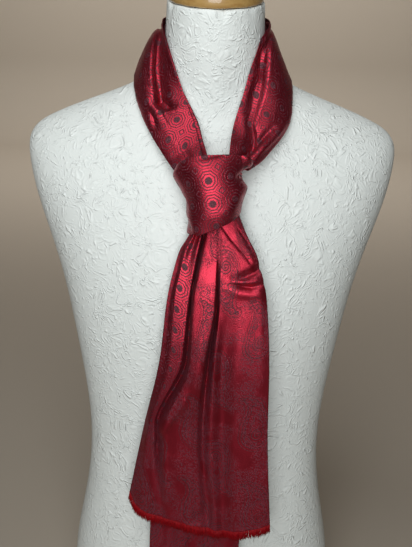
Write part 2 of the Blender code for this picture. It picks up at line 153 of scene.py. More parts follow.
def finish_with(material, **sockets):
    """Join sockets to the material's shader."""
    shader = material.node_tree.nodes["Principled BSDF"]
    for field, socket in sockets.items():
        material.node_tree.links.new(socket, shader.inputs[field.replace("_", " ")])


# %% [markdown]
# ### Jacquard satin
#
# The cloth is polyester satin woven on a jacquard loom. Red warp threads float over the
# ground and shine, and dark weft threads come up in the figures and look dull. So a figure
# is darker than the ground where light catches the cloth, and paler where it doesn't. One
# mask carries the figure, and sets colour, shine and relief together. The ground is partly
# metallic and its gloss is tinted, as the threads colour what they reflect.

# %% Weave the figure into a satin
FLOAT_BRIGHT = "A42A3A"            # red warp, where it floats
FLOAT_DEEP = "8A202E"
WEFT_DARK = "2C0A12"               # plum-black weft
WEFT_GREY = "5C303C"
THREAD_GRAIN = 1.3 * MM            # the threads' unevenness, coarser than on the real cloth


def new_satin(name):
    """A satin with no figure yet, and the place on the cloth that its figure follows."""
    material = new_material(name, Specular_IOR_Level=0.35, Sheen_Weight=0.03,
                            Sheen_Roughness=0.5, Sheen_Tint=colour("C08A94"))
    return material, add_node(material, "UVMap", uv_map="cloth")


def weave(material, place, figure, fleck):
    """Colour, shine and relief of the satin, from a figure mask between 0 and 1."""
    cloudy = add_node(material, "TexNoise", {"Vector": place, "Scale": 55.0, "Detail": 2.0})
    floats = blend(material, cloudy, FLOAT_DEEP, FLOAT_BRIGHT)
    weft = blend(material, fleck, WEFT_DARK, WEFT_GREY)
    cloth = blend(material, figure, floats, weft)
    shine = ramp(material, figure, 0.0, 1.0, 0.92, 0.12)
    rough = ramp(material, figure, 0.0, 1.0, 0.36, 0.55)
    grain = add_node(material, "TexNoise", {"Vector": place, "Scale": 1 / THREAD_GRAIN,
                                            "Detail": 1.0})
    raised = reckon(material, "MULTIPLY_ADD", figure, fleck, grain)
    relief = add_node(material, "Bump", {"Height": raised, "Strength": 0.6, "Distance": 0.0004})
    finish_with(material, Base_Color=cloth, Metallic=shine, Roughness=rough, Normal=relief)


def fleck_of(material, place, spacing):
    """Fine flecks where single threads come up, as a mask between 0 and 1."""
    cells = add_node(material, "TexVoronoi", {"Vector": place, "Scale": 1 / spacing,
                                             "Randomness": 0.75})
    return ramp(material, cells, 0.55, 0.35)


def ring_at(material, reach, middle, half):
    """A line where a distance is near a value: a strong mask on it and none beside it."""
    away = reckon(material, "SUBTRACT", reach, middle)
    away = reckon(material, "ABSOLUTE", away)
    return ramp(material, away, half, half * 0.5, 0.0, 0.85)


def most_of(material, masks):
    """The strongest of several masks."""
    best = masks[0]
    for mask in masks[1:]:
        best = reckon(material, "MAXIMUM", best, mask)
    return best


# %% [markdown]
# ### Octagon medallions
#
# The neck and the knot show octagons, 24 mm from one to the next, each with a speckled
# middle and rings, and a small diamond between each four. The distance to an octagon's
# middle is the largest of the distances to its sides, so three Math nodes draw it. The loom
# draws finer rings than these.

# %% The medallion cloth
OCTAGON_PITCH = 24 * MM


def medallions(material, place):
    """Rows of octagons, as a figure mask."""
    tiles = add_node(material, "VectorMath", {0: place, "Scale": 1 / OCTAGON_PITCH},
                     operation="SCALE")
    tiles = reckon_places(material, "FRACTION", tiles)
    tiles = reckon_places(material, "SUBTRACT", tiles, (0.5, 0.5, 0))
    tiles = reckon_places(material, "ABSOLUTE", tiles)
    split = add_node(material, "SeparateXYZ", (tiles,))
    right, up = split.node.outputs[0], split.node.outputs[1]
    straight = reckon(material, "MAXIMUM", right, up)
    slanted = reckon(material, "ADD", right, up)
    slanted = reckon(material, "MULTIPLY", slanted, math.sqrt(0.5))
    octagon = reckon(material, "MAXIMUM", straight, slanted)
    diamond = reckon(material, "SUBTRACT", math.sqrt(0.5), slanted)
    middle = ramp(material, octagon, 0.17, 0.14, 0.0, 0.9)
    rings = [ring_at(material, octagon, at, 0.03) for at in (0.265, 0.385)]
    border = ring_at(material, octagon, 0.5, 0.015)
    return most_of(material, [middle, *rings, border, ring_at(material, diamond, 0.10, 0.035)])


medallion_satin, cloth_place = new_satin("jacquard_satin_medallions")
flecks = fleck_of(medallion_satin, cloth_place, 1.5 * MM)
weave(medallion_satin, cloth_place, medallions(medallion_satin, cloth_place), flecks)
print(medallion_satin.name, len(medallion_satin.node_tree.nodes), "nodes")

# %% [markdown]
# ### Paisleys
#
# The tails carry large paisleys in a half-drop repeat, heads up and heads down by turns. A
# parsley is a row of circles that shrink along a curved spine and run together. The distance
# to them gives nested outlines for free: each line follows the edge at its own depth. A
# speckled band fills the outer part, and a coil sits in the round head. Loose flecks lie in
# clouds between the figures, and towards the hem the clouds grow denser as painted shade: their
# dull weft paints in the dusty shade of the lower tail, where the cloth mirrors the dim floor.
# One edge of the scarf keeps a border of the octagons. The loom's lines are finer than these.

# %% The paisley cloth
REPEAT_WIDE = 86 * MM
REPEAT_TALL = 118 * MM
SPINE = (                          # across, up, radius, in millimetres
    (0, -19, 18), (2, -7, 16), (4.5, 4, 12.5), (6, 15, 9), (4.5, 24, 5.8),
    (0.5, 31.5, 3.4), (-5, 35.5, 1.8))
PAISLEYS = (                       # across, up, turn in degrees
    (24, 34, -14), (66, 90, 166))
OUTLINES = (                       # distance outside the edge and half width, in millimetres
    (0, 0.8), (-3.2, 0.55), (-8.4, 0.55), (3.4, 0.5))
HEAD_UP = SPINE[0][1] * MM         # the middle of the head, and of the coil in it
COIL_PITCH = 3.4 * MM
COIL_REACH = 8.6 * MM
BORDER_WIDE = 72 * MM              # of octagons, along one edge
BORDER_STARTS = 130 * MM           # above the hem
DUSTING = 34 * MM                  # between clouds of loose flecks


def paisley(material, place, flecks, across, rise, turn):
    """One paisley of the repeat, as masks: its outlines, its band and its coil."""
    corner = (across * MM - REPEAT_WIDE / 2, rise * MM - REPEAT_TALL / 2, 0)
    cell = reckon_places(material, "SUBTRACT", place, corner)
    cell = reckon_places(material, "WRAP", cell, (REPEAT_WIDE, REPEAT_TALL, 0), (0, 0, 0))
    cell = reckon_places(material, "SUBTRACT", cell, (REPEAT_WIDE / 2, REPEAT_TALL / 2, 0))
    cell = add_node(material, "VectorRotate", {"Vector": cell, "Angle": math.radians(turn)})
    edge = None
    for x, y, radius in SPINE:
        reach = reckon_places(material, "DISTANCE", cell, (x * MM, y * MM, 0), output=1)
        reach = reckon(material, "SUBTRACT", reach, radius * MM)
        edge = reach if edge is None else reckon(material, "SMOOTH_MIN", edge, reach, 4 * MM)
    edge = reckon(material, "MULTIPLY", edge, 1 / MM)
    lines = [ring_at(material, edge, at, half) for at, half in OUTLINES]
    outer = ramp(material, edge, -0.2, -0.6)
    inner = ramp(material, edge, -8.2, -8.6, 1.0, 0.0)
    band = reckon(material, "MULTIPLY", outer, inner)
    band = reckon(material, "MULTIPLY", band, flecks)
    arms = add_node(material, "SeparateXYZ", (cell,))
    low = reckon(material, "ADD", arms.node.outputs[1], -HEAD_UP)
    swirl = reckon(material, "ARCTAN2", low, arms)
    swirl = reckon(material, "MULTIPLY", swirl, 1 / math.tau)
    out = reckon_places(material, "DISTANCE", cell, (0, HEAD_UP, 0), output=1)
    coil = reckon(material, "MULTIPLY_ADD", out, 1 / COIL_PITCH, swirl)
    coil = reckon(material, "FRACT", coil)
    coil = ring_at(material, coil, 0.5, 0.26)
    head = ramp(material, out, COIL_REACH, COIL_REACH - 0.6 * MM)
    return [*lines, band, reckon(material, "MULTIPLY", coil, head)]


paisley_satin, cloth_place = new_satin("jacquard_satin_paisleys")
flecks = fleck_of(paisley_satin, cloth_place, 1.4 * MM)
masks = []
for across, rise, turn in PAISLEYS:
    masks += paisley(paisley_satin, cloth_place, flecks, across, rise, turn)
clouds = add_node(paisley_satin, "TexNoise", {"Vector": cloth_place, "Scale": 1 / DUSTING,
                                              "Detail": 1.0})
sides = add_node(paisley_satin, "SeparateXYZ", (cloth_place,))
above_hem = sides.node.outputs[1]
# Painted shade: the fleck clouds grow denser towards the hem, dulling the lower tail as if it were
# out of the light.
painted_dull_shade_to_hem = ramp(paisley_satin, above_hem, 0.08, 0.32, 0.07, -0.05)
clouds = reckon(paisley_satin, "ADD", clouds, painted_dull_shade_to_hem)
clouds = ramp(paisley_satin, clouds, 0.43, 0.56, 0.0, 0.9)
masks.append(reckon(paisley_satin, "MULTIPLY", clouds, flecks))
figure = most_of(paisley_satin, masks)
border = reckon(paisley_satin, "LESS_THAN", sides, BORDER_WIDE)
above = reckon(paisley_satin, "GREATER_THAN", above_hem, BORDER_STARTS)
border = reckon(paisley_satin, "MULTIPLY", border, above)
octagons = medallions(paisley_satin, cloth_place)
figure = add_node(paisley_satin, "Mix", {0: border, 2: figure, 3: octagons})
weave(paisley_satin, cloth_place, figure, flecks)
print(paisley_satin.name, len(paisley_satin.node_tree.nodes), "nodes")

# %% [markdown]
# ### Yarn, paper skin and lacquered wood
#
# The fringe is the red warp, cut short. The torso is moulded pulp with a skin of mulberry
# paper, whose long fibres stand up in the coat of white paint. The cap is turned beech under
# a golden lacquer.

# %% Fringe yarn
fringe_yarn = new_material("polyester_yarn_cut", Roughness=0.55, Specular_IOR_Level=0.15)
strand_place = add_node(fringe_yarn, "TexCoord", output=3)
tone = add_node(fringe_yarn, "TexNoise", {"Vector": strand_place, "Scale": 700.0})
finish_with(fringe_yarn, Base_Color=blend(fringe_yarn, tone, "560006", "9C0612"))

# %% Paper skin of the form
FIBRE = 9 * MM                     # from one long fibre to the next

paper_skin = new_material("mulberry_paper_painted", Roughness=0.62)
skin_place = add_node(paper_skin, "TexCoord", output=3)
swirled = add_node(paper_skin, "TexNoise", {"Vector": skin_place, "Scale": 1 / (3 * FIBRE),
                                            "Detail": 1.0}, 1)
swirled = reckon_places(paper_skin, "MULTIPLY_ADD", swirled, (0.035, 0.035, 0.035), skin_place)
fibres = add_node(paper_skin, "TexNoise", {"Vector": swirled, "Scale": 1 / FIBRE, "Detail": 3.0,
                                           "Roughness": 0.5, "Distortion": 1.6},
                  noise_type="RIDGED_MULTIFRACTAL", normalize=True)
bumps = add_node(paper_skin, "Bump", {"Height": fibres, "Strength": 0.9, "Distance": 0.0022})
finish_with(paper_skin, Base_Color=blend(paper_skin, fibres, "D2D6D2", "E2E6E2"), Normal=bumps)

# %% Lacquered wood of the cap
cap_wood = new_material("beech_golden_lacquer", Roughness=0.38, Coat_Weight=1.0,
                        Coat_Roughness=0.08)
wood_place = add_node(cap_wood, "TexCoord", output=3)
wood_place = add_node(cap_wood, "Mapping", {"Vector": wood_place, "Scale": (3.0, 26.0, 26.0)})
grain = add_node(cap_wood, "TexNoise", {"Vector": wood_place, "Scale": 9.0, "Detail": 5.0,
                                        "Distortion": 0.6})
finish_with(cap_wood, Base_Color=blend(cap_wood, grain, "8E6430", "BC9C60"))
print("finishes:", [m.name for m in (fringe_yarn, paper_skin, cap_wood)])

# %% [markdown]
# ## The torso and its cap
#
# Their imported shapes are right, but coarse. A copy of each is merged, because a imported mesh
# is loose triangles, and Subdivision Surface rounds it.

# %% Round off the form and the cap
def activate(piece):
    """Select one piece and nothing else."""
    bpy.ops.object.select_all(action="DESELECT")
    piece.select_set(True)
    bpy.context.view_layer.objects.active = piece


def new_piece(name, mesh):
    """Put a mesh into the scene as one piece, and make it active."""
    piece = bpy.data.objects.new(name, mesh)
    bpy.context.collection.objects.link(piece)
    activate(piece)
    return piece


def rounded_copy(node, name, material):
    """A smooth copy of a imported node, which then stands for it."""
    piece = new_piece(name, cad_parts[node].data.copy())
    bpy.ops.object.mode_set(mode="EDIT")
    bpy.ops.mesh.select_all(action="SELECT")
    bpy.ops.mesh.remove_doubles(threshold=0.00002)
    bpy.ops.mesh.tris_convert_to_quads(face_threshold=math.radians(60),
                                       shape_threshold=math.radians(60))
    bpy.ops.mesh.customdata_custom_splitnormals_clear()
    bpy.ops.object.mode_set(mode="OBJECT")
    soften = piece.modifiers.new("rounding", "SUBSURF")
    soften.levels = 2
    bpy.ops.object.modifier_apply(modifier="rounding")
    bpy.ops.object.shade_smooth()
    piece.data.materials.clear()
    piece.data.materials.append(material)
    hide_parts(node)
    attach(piece, "root")
    print(name, len(piece.data.polygons), "faces")
    return piece


torso = rounded_copy("dress_form", "paper_torso", paper_skin)
cap = rounded_copy("neck_cap", "turned_cap", cap_wood)

# %% [markdown]
# ## Cloth
#
# A cloth simulation would lose the folds that this knot was tied with, so each stretch is
# drawn instead, as a pattern cutter draws sections: a table row for each place or fold, a
# smooth curve through them, then creases laid on top. Each sheet keeps a second set of
# coordinates, in metres along and across the cloth, and the figure follows those.

# %% Curves through a table
SCARF_WIDTH = 200 * MM
SHEET = 0.6 * MM                   # satin with its facing


def curve_through(places, values, at):
    """Smooth curves through the columns of a table, with no overshoot between its rows."""
    places = np.asarray(places, float)
    values = np.asarray(values, float)
    single = values.ndim == 1
    values = values.reshape(len(places), -1)
    steps = np.diff(places)[:, None]
    rises = np.diff(values, axis=0) / steps
    slopes = np.concatenate([rises[:1], np.zeros_like(values[1:-1]), rises[-1:]])
    before = 2 * steps[1:] + steps[:-1]
    after = steps[1:] + 2 * steps[:-1]
    rising = rises[:-1] * rises[1:] > 0
    safe = np.where(rising, 1.0, np.nan)
    slopes[1:-1] = np.nan_to_num((before + after) / (before / (rises[:-1] * safe)
                                                     + after / (rises[1:] * safe)))
    at = np.clip(np.atleast_1d(np.asarray(at, float)), places[0], places[-1])
    span = np.clip(np.searchsorted(places, at, side="right") - 1, 0, len(steps) - 1)
    t = ((at - places[span]) / steps[span, 0])[:, None]
    step = steps[span]
    line = ((2 * t**3 - 3 * t**2 + 1) * values[span] + (t**3 - 2 * t**2 + t) * step * slopes[span]
            + (3 * t**2 - 2 * t**3) * values[span + 1] + (t**3 - t**2) * step * slopes[span + 1])
    return line[:, 0] if single else line


def line_through(places, steps):
    """A smooth line through a few places, with some steps in each span between them."""
    places = np.asarray(places, float)
    along = np.concatenate([[0.0], np.cumsum(np.linalg.norm(np.diff(places, axis=0), axis=1))])
    at = np.interp(np.arange(steps * (len(along) - 1) + 1) / steps, np.arange(len(along)), along)
    return curve_through(along, places, at)


def arc_along(grid, axis):
    """How far along the cloth each point of a grid is, in metres."""
    lengths = np.linalg.norm(np.diff(grid, axis=axis), axis=2)
    start = np.zeros_like(grid[:1, :, 0] if axis == 0 else grid[:, :1, 0])
    return np.concatenate([start, np.cumsum(lengths, axis=axis)], axis=axis)


def facing(grid):
    """The direction that each point of a grid of cloth faces."""
    faces = np.cross(np.gradient(grid, axis=0), np.gradient(grid, axis=1))
    return faces / np.maximum(np.linalg.norm(faces, axis=2, keepdims=True), 1e-12)


# %% [markdown]
# ### Creases
#
# A crease is a row of a table: how high it stands or, below nought, how deep it lies, how far
# it spreads to its left and right, and the places that it passes in the picture. It fades
# out at both ends. One sharp side and one soft side make a lapped fold.

# %% Lay creases on a sheet
def crease_push(seen, height, left, right, line):
    """How far one crease pushes each point of a sheet, in millimetres."""
    line = np.asarray(line, float)
    pieces = np.diff(line, axis=0)
    lengths = np.linalg.norm(pieces, axis=1)
    total = lengths.sum()
    best = np.full(seen.shape[:-1], np.inf)
    side = np.zeros_like(best)
    share = np.zeros_like(best)
    done = 0.0
    for start, piece, length in zip(line, pieces, lengths):
        away = seen - start
        t = np.clip((away @ piece) / length**2, 0, 1)
        away = away - t[..., None] * piece
        far = np.linalg.norm(away, axis=-1)
        nearer = far < best
        best = np.where(nearer, far, best)
        turned = piece[0] * away[..., 1] - piece[1] * away[..., 0]
        side = np.where(nearer, np.sign(turned), side)
        share = np.where(nearer, (done + t * length) / total, share)
        done += length
    spread = np.where(side > 0, left, right)
    fade = np.sin(np.pi * np.clip(share, 0.04, 0.96)) ** 0.6
    return height * fade * np.exp(-(best / spread) ** 2)


def lay_creases(grid, creases, reaches=None, unevenness=0.4):
    """Push a sheet's points out and in along its creases, and make it a little uneven.

    The reaches say which points take part, from 0 to 1.
    """
    normals = facing(grid)
    seen = seen_at(grid)
    push = np.zeros(grid.shape[:2])
    for _, height, left, right, line in creases:
        push += crease_push(seen, height, left, right, line)
    for row in range(grid.shape[0]):
        for column in range(grid.shape[1]):
            push[row, column] += unevenness * noise.noise(Vector(grid[row, column]) * 45)
    if reaches is not None:
        push *= reaches
    return grid + normals * push[..., None] * MM


# %% Make a sheet
def make_sheet(name, grid, cloth, material):
    """A thin shell through a grid of points, with the cloth's own coordinates."""
    rows, columns = grid.shape[:2]
    index = np.arange(rows * columns).reshape(rows, columns)
    corners = (index[:-1, :-1], index[:-1, 1:], index[1:, 1:], index[1:, :-1])
    faces = np.stack(corners, axis=-1).reshape(-1, 4)
    mesh = bpy.data.meshes.new(name)
    mesh.from_pydata(grid.reshape(-1, 3).tolist(), [], faces.tolist())
    layer = mesh.uv_layers.new(name="cloth")
    layer.data.foreach_set("uv", cloth.reshape(-1, 2)[faces.ravel()].astype(np.float32).ravel())
    mesh.materials.append(material)
    piece = new_piece(name, mesh)
    wall = piece.modifiers.new("wall", "SOLIDIFY")
    wall.thickness = SHEET
    wall.offset = 0
    bpy.ops.object.modifier_apply(modifier="wall")
    bpy.ops.object.shade_smooth()
    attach(piece, "root")
    print(name, rows, "x", columns, "points,", len(piece.data.polygons), "faces")
    return piece


def turned(cloth, degrees=0, shift=0):
    """Turn the cloth's coordinates and shift them across, so that the figure lies as there."""
    turn = math.radians(degrees)
    across = cloth[..., 0] * math.cos(turn) - cloth[..., 1] * math.sin(turn)
    along = cloth[..., 0] * math.sin(turn) + cloth[..., 1] * math.cos(turn)
    return np.stack([across + shift * MM, along], axis=-1)


# %% [markdown]
# ### Round the neck
#
# The band is the scarf folded in two lengthwise. Each row of the table is a place along it,
# from the knot's left end round the back to its right end: the free top edge beside the
# neck, the fold at the outer side, the valley between, the outer roll, the slack between the
# two layers and how far the under layer reaches past the free edge.

# %% The neck band's places
NECK_PLACES = (
    # the free edge's x, y and z, the fold's x, y and z, valley at, valley's depth, roll at,
    # roll's height, slack, tuck; in millimetres, and "at" as a share across
    (-14, -121, 654, -32, -119, 645, 0.40, 0.0, 0.70, 2.0, 3.5, 6),
    (-10.5, -117, 667, -41, -114, 653, 0.45, 0.0, 0.70, 1.5, 4.5, 12.5),
    (-14.8, -100, 683, -49, -105, 662, 0.50, 0.0, 0.65, 0.5, 5.0, 10),
    (-19.9, -87, 700, -60, -93, 676, 0.50, -0.8, 0.65, 0.6, 5.0, 8),
    (-25.8, -80, 713, -70, -80, 689, 0.52, -0.8, 0.70, 1.2, 5.5, 5),
    (-30.5, -75, 724, -78, -67, 701, 0.53, 2.5, 0.74, 7.0, 6.5, 1),
    (-37.6, -69.5, 743, -84, -54, 716, 0.46, 6.0, 0.68, 12.0, 7.5, -6),
    (-46.0, -61.5, 766, -88, -38, 732, 0.36, 5.0, 0.60, 11.5, 6.5, -6),
    (-52.5, -49, 786, -90, -20, 743, 0.24, 3.0, 0.50, 10.0, 5.0, -6),
    (-57.0, -30, 800, -90, -2, 748, 0.14, 0.6, 0.43, 8.0, 4.2, -6),
    (-58.5, -10, 807, -86, 20, 748, 0.10, 0.0, 0.42, 7.0, 4.2, -6),
    (-53.5, 15, 811, -76, 44, 743, 0.15, 1.0, 0.45, 6.0, 4.6, -6),
    (-40.0, 34, 814, -54, 66, 736, 0.15, 1.0, 0.50, 6.0, 4.6, -6),
    (-21.0, 43, 816, -28, 79, 731, 0.15, 1.0, 0.50, 6.0, 4.6, -6),
    (0, 46, 817, 0, 83, 729, 0.15, 1.0, 0.50, 6.0, 4.6, -6),
    (21.0, 43, 816, 28, 79, 731, 0.15, 1.0, 0.50, 6.0, 4.6, -6),
    (40.0, 34, 815, 54, 66, 736, 0.15, 1.0, 0.50, 6.0, 4.6, -6),
    (53.5, 15, 813, 72, 44, 745, 0.14, 1.0, 0.45, 6.0, 4.6, -6),
    (57.5, -10, 809, 78, 20, 751, 0.10, 0.0, 0.42, 6.0, 4.6, -6),
    (55.5, -32, 803, 82, -4, 748, 0.11, 0.6, 0.42, 6.5, 4.8, -6),
    (50.5, -52, 791, 88, -26, 741, 0.16, 2.2, 0.42, 7.5, 5.4, -6),
    (45.0, -62.5, 773, 89.5, -40, 731, 0.21, 3.2, 0.52, 8.0, 5.6, -6),
    (38.0, -69.5, 751, 89, -54, 714, 0.27, 3.5, 0.62, 7.5, 5.0, -5),
    (31.0, -75, 726, 85, -67, 699, 0.28, 3.0, 0.65, 6.5, 5.0, -5),
    (25.5, -82, 709, 78, -79, 688, 0.30, 1.5, 0.68, 6.0, 5.0, -5),
    (21.5, -93, 694, 68, -91, 677, 0.50, 2.5, 0.76, 5.0, 5.0, -5),
    (19.3, -108, 681, 55, -104, 664, 0.58, 3.5, 0.80, 5.0, 4.5, -5),
    (18.0, -119, 667, 41, -114, 655, 0.55, 1.0, 0.78, 3.0, 4.0, -5),
)
NECK_ROWS = 330
NECK_SPAN_STEPS = 12
NECK_WIDE = 70                     # the band's usual width in millimetres
NECK_LAY = 0.8 * MM                # the under layer's clearance from the form
NECK_FRONT_COLUMNS = 8 * NECK_SPAN_STEPS   # the columns of its upper layer

# %% Fold the neck band
form_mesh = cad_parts["dress_form"].data
form_surface = BVHTree.FromPolygons([v.co[:] for v in form_mesh.vertices],
                                    [tuple(p.vertices) for p in form_mesh.polygons])


def lift_clear(point, direction, clearance):
    """How far a point has to move along a direction to stand clear of the form."""
    lift = 0.0
    for _ in range(6):
        here = Vector(point + direction * lift)
        nearest, normal, _, distance = form_surface.find_nearest(here)
        if (here - nearest).dot(normal) < 0:
            distance = -distance
        if distance >= clearance:
            break
        lift += clearance - distance
    return lift


def band_section(valley_at, valley, roll_at, roll, top, tuck):
    """The folded band's section: places as (share across, height), free edge to tuck."""
    return np.array(((0.0, top),
                     (0.5 * valley_at, top + 1.0),
                     (valley_at - 0.03, top - 0.6 * valley),
                     (valley_at + 0.03, top - 0.45 * valley),
                     (0.68 * valley_at + 0.32 * roll_at, top + 0.6 * roll),
                     (roll_at, top + roll),
                     (0.5 * roll_at + 0.48, top + 0.80 * roll),
                     (1.01, 0.5 * top + 0.30 * roll),
                     (0.95, 0.0),
                     (0.5, 0.0),
                     (-0.01 * tuck, 0.0)))


def neck_points():
    """The folded stretch round the neck, laid on the form."""
    places = np.linspace(0, len(NECK_PLACES) - 1, NECK_ROWS + 1)
    table = curve_through(np.arange(len(NECK_PLACES)), NECK_PLACES, places)
    free = table[:, 0:3] * MM
    fold = table[:, 3:6] * MM
    outward = np.cross(np.gradient((free + fold) / 2, axis=0), fold - free)
    outward /= np.linalg.norm(outward, axis=1, keepdims=True)
    lay = SHEET + NECK_LAY
    shares = np.linspace(-0.1, 1.05, 12)
    rows = []
    for place, row in enumerate(table):
        section = band_section(*row[6:12]) / (1, NECK_WIDE)
        section = line_through(section, NECK_SPAN_STEPS) * (1, NECK_WIDE * MM)
        slack = row[10] * MM
        chord = fold[place] - free[place]
        lifts = np.array([lift_clear(free[place] + chord * share - outward[place] * slack,
                                     outward[place], lay) for share in shares])
        padded = np.pad(lifts, 1, mode="edge")
        lifts = np.maximum(lifts, padded[:-2] / 4 + lifts / 2 + padded[2:] / 4)
        height = section[:, 1] - slack + np.interp(section[:, 0], shares, lifts)
        line = free[place] + np.outer(section[:, 0], chord) + np.outer(height, outward[place])
        for point in line:
            point += outward[place] * lift_clear(point, outward[place], lay)
        rows.append(line)
    return np.array(rows)


NECK_CREASES = (
    # name, height, spread to its left and right, places in the picture going down it
    ("left valley", -4.5, 3.0, 2.2, ((161, 22), (158, 45), (157.5, 70), (159.5, 92), (163, 106))),
    ("left pocket", -6.0, 3.0, 4.0, ((158, 99), (162, 104), (167, 107), (173, 107))),
    ("pocket lip", 2.6, 3.5, 2.0, ((151, 104), (157, 111), (165, 113.5), (176, 110))),
    ("left roll", 1.8, 3.0, 2.5, ((156, 28), (152, 50), (151, 75), (153, 98))),
    ("left roll ribs", 1.0, 1.6, 1.6, ((148, 74), (153, 76), (157, 75))),
    ("left roll ribs", 1.0, 1.6, 1.6, ((148, 83), (153, 85), (158, 84))),
    ("left roll ribs", 1.0, 1.6, 1.6, ((149, 92), (154, 94), (159, 93))),
    ("left inner layer", -1.2, 5.0, 4.0, ((160, 40), (165, 62), (170, 80))),
    ("left outer crease", -2.2, 2.5, 2.5, ((149, 110), (153, 118), (156, 128))),
    ("left lower swell", 1.8, 9.0, 10.0, ((160, 114), (170, 134), (184, 154))),
    ("right valley", -4.2, 3.5, 2.5, ((264, 26), (262.5, 55), (259.5, 76), (253, 95), (247, 112))),
    ("right roll", 1.2, 3.0, 6.0, ((268, 34), (268, 60), (265, 82), (259, 98))),
    ("right upper slope", -2.0, 6.0, 6.0, ((258, 42), (252, 62), (246, 82))),
    ("right bright fold", 4.0, 6.0, 3.0, ((287, 121), (278, 133), (267, 145), (256, 156))),
    ("right dark crease", -4.0, 3.0, 3.0, ((272, 129), (262, 139), (255, 147), (247, 156))),
    ("right inner swell", 1.8, 6.0, 6.0, ((262, 95), (252, 118), (243, 142))),
)

band_points = neck_points()
band_cloth = np.stack([arc_along(band_points, 1),
                       np.repeat(arc_along(band_points, 0).mean(axis=1, keepdims=True),
                                 band_points.shape[1], axis=1)], axis=-1)
on_top = np.zeros(band_points.shape[:2])
on_top[:, :NECK_FRONT_COLUMNS] = 1
band_points = lay_creases(band_points, NECK_CREASES, on_top, 0.3)
# The deepest valleys are lifted clear of the form again, with room for the layer below.
for row, faces in zip(band_points, facing(band_points)):
    for point, face in zip(row[:NECK_FRONT_COLUMNS], faces):
        point += face * lift_clear(point, face, SHEET + 2 * NECK_LAY)
print("band: across", arc_along(band_points, 1)[:, -1].mean().round(4), "along",
      arc_along(band_points, 0)[-1].mean().round(4), "m")
neck_sheet = make_sheet("neck_sheet", band_points, turned(band_cloth, 45), medallion_satin)
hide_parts("neck_band")

# %% [markdown]
# ### The knot
#
# The knot's outside is the last turn of the scarf, pulled tight across the front. A row of
# the table is a level down it: where it turns away on the left and right, how far its middle
# stands above that line, its foremost place and the depth where it turns away. The turn below
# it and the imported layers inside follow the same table, each a little further in.

# %% The knot's levels
KNOT_LEVELS = (
    # left, left height, right, right height, rise, front, side, in millimetres
    (-39.0, 655.5, 43.5, 664, 15.5, -141, -123),
    (-41.5, 648.5, 40.5, 656, 14, -147, -123),
    (-38.5, 641, 37.0, 648, 11, -151, -122),
    (-34.0, 633, 41.5, 638, 7, -154, -121),
    (-30.0, 623, 37.0, 628, 3, -156.5, -120),
    (-28.5, 605, 34.5, 619.5, 1, -158, -119),
    (-28.5, 584, 33.0, 612.5, -1, -157, -119),
)
# How far each layer goes round: level, then degrees to the left and right of the front.
WRAP_REACH = ((0, 96, 92), (2, 104, 100), (2.9, 103, 102), (4, 62, 102), (5, 43, 100),
              (6, 28, 98))
UNDER_REACH = ((3.1, 100, 10), (4, 100, 0), (5, 100, -8), (5.87, 100, -16))
CORE_REACH = ((1.72, 180, 180), (4.8, 180, 180))
KNOT_FULLNESS = 2.5                # 2 is an ellipse, and more is squarer
KNOT_REAR = 8 * MM                 # the knot's depth behind its sides
UNDER_INSET = 2.8 * MM             # from the wrap's middle surface to the next one's
CORE_INSET = 4.1 * MM


def knot_points(reach, inset, down, around):
    """A knot layer's points, an even distance inside the wrap: a row for each level."""
    reach = np.array(reach, float)
    places = np.linspace(reach[0, 0], reach[-1, 0], down + 1)
    levels = curve_through(np.arange(len(KNOT_LEVELS)), KNOT_LEVELS, places)
    ends = curve_through(reach[:, 0], reach[:, 1:], places)
    rows = []
    for level, (start, end) in zip(levels, ends):
        left, left_height, right, right_height, rise, front, side = level
        centre = (left + right) / 2 * MM
        half_width = (right - left) / 2 * MM - inset
        depth = (side - front) * MM - inset
        turns = np.radians(np.linspace(-start, end, around + 1))
        across = np.sign(np.sin(turns)) * np.abs(np.sin(turns)) ** (2 / KNOT_FULLNESS)
        forward = np.sign(np.cos(turns)) * np.abs(np.cos(turns)) ** (2 / KNOT_FULLNESS)
        reaches = np.where(forward > 0, depth, KNOT_REAR)
        height = np.interp(across, (-1, 1), (left_height, right_height))
        rows.append(np.stack([centre + half_width * across, side * MM - reaches * forward,
                              (height + rise * np.maximum(forward, 0)) * MM], axis=1))
    return np.array(rows)


def knot_sheet(name, node, reach, inset, down, around, creases, turn):
    """One turn of the scarf round the knot."""
    points = knot_points(reach, inset, down, around)
    arcs = arc_along(points, 1)
    front = slice(around // 5, -around // 5)
    middles = [np.interp(0.0, row[front, 0], arc[front]) for row, arc in zip(points, arcs)]
    cloth = np.stack([arcs - np.array(middles)[:, None], -points[..., 2]], axis=-1)
    points = lay_creases(points, creases)
    piece = make_sheet(name, points, turned(cloth, turn), medallion_satin)
    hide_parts(node)
    return piece


WRAP_CREASES = (
    # as the neck's: height, spread to its left and right, places in the picture
    ("bright crest", 2.4, 14.0, 18.0,
     ((193, 152), (202, 170), (208, 190), (214, 212), (218, 232))),
    ("upper right slope", -4.0, 16.0, 6.0, ((238, 146), (244, 162), (249, 178), (252, 194))),
    ("upper right rim", 2.0, 3.0, 3.0, ((244, 152), (250, 162), (253, 172))),
    ("notch crease", -2.4, 2.5, 2.5, ((254, 169), (246, 175), (236, 178))),
    ("left dent", -2.0, 6.0, 7.0, ((180, 168), (186, 188), (192, 210))),
    ("lower swell", 1.6, 6.0, 6.0, ((243, 188), (234, 204), (224, 218))),
    ("top fold", -1.0, 2.0, 3.0, ((199, 161), (214, 156), (230, 153))),
)
UNDER_CREASES = (
    ("facet", 1.6, 3.0, 4.0, ((187, 208), (192, 220), (197, 232))),
    ("facet edge", -1.8, 2.0, 2.0, ((185, 214), (188, 224), (191, 233))),
)
knot_sheet("knot_wrap_sheet", "knot_wrap", WRAP_REACH, 0.0, 100, 120, WRAP_CREASES, 12)
knot_sheet("knot_under_sheet", "knot_under_wrap", UNDER_REACH, UNDER_INSET, 50, 50,
           UNDER_CREASES, 40)

# %% Packed layers inside the knot
CORE_PLEATS = 17
CORE_PLEAT_DEPTH = 0.6 * MM


